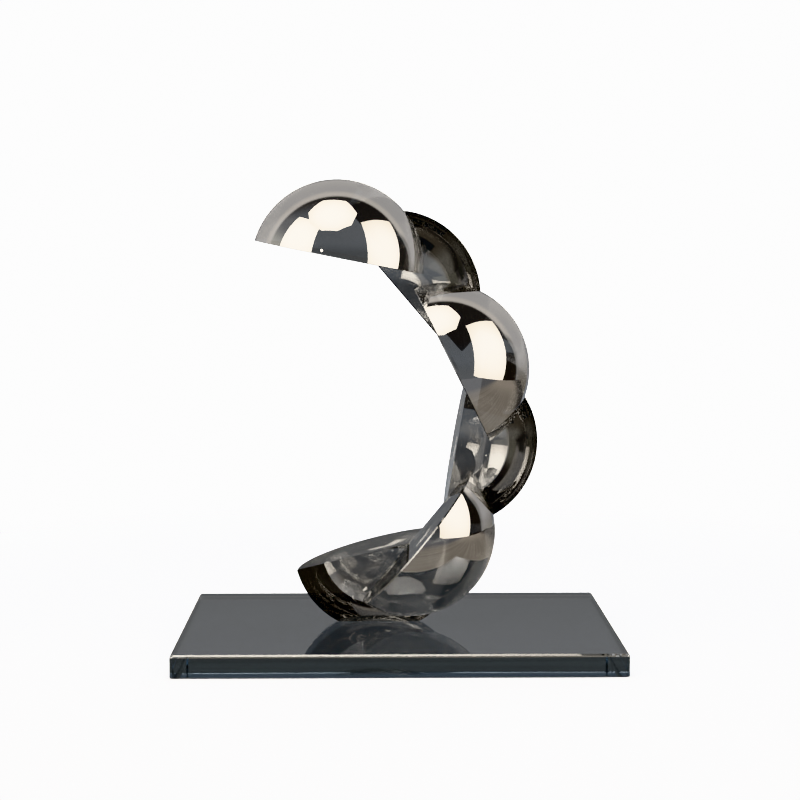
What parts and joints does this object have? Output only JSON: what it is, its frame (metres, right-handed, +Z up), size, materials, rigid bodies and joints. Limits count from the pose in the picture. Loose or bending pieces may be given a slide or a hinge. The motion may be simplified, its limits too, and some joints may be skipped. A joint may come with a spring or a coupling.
{
  "type": "crystal ornament on a plinth",
  "caption": "Abstract ornament of mirror-backed smoky crystal quarter balls glued in a C-shaped curve, standing on a rectangular dark crystal plate.",
  "frame": {"origin": "centre of the plinth's underside", "axes": "+Z up; +X along the plinth's long side, towards the back of the C-shaped curve; -Y towards the viewer in front; the middle plane that the quarter balls are glued along is Y = 0"},
  "size_m": [0.3, 0.2, 0.3252],
  "materials": {
    "smoky_crystal_plate": "polished",
    "mirrored_crystal": "polished, dark mirror coat on the domes"
  },
  "bodies": {
    "root": {"plinth": "smoky_crystal_plate", "quarter_ball_1": "mirrored_crystal", "quarter_ball_2": "mirrored_crystal", "quarter_ball_3": "mirrored_crystal", "quarter_ball_4": "mirrored_crystal", "quarter_ball_5": "mirrored_crystal", "quarter_ball_6": "mirrored_crystal"}
  },
  "joints": []
}
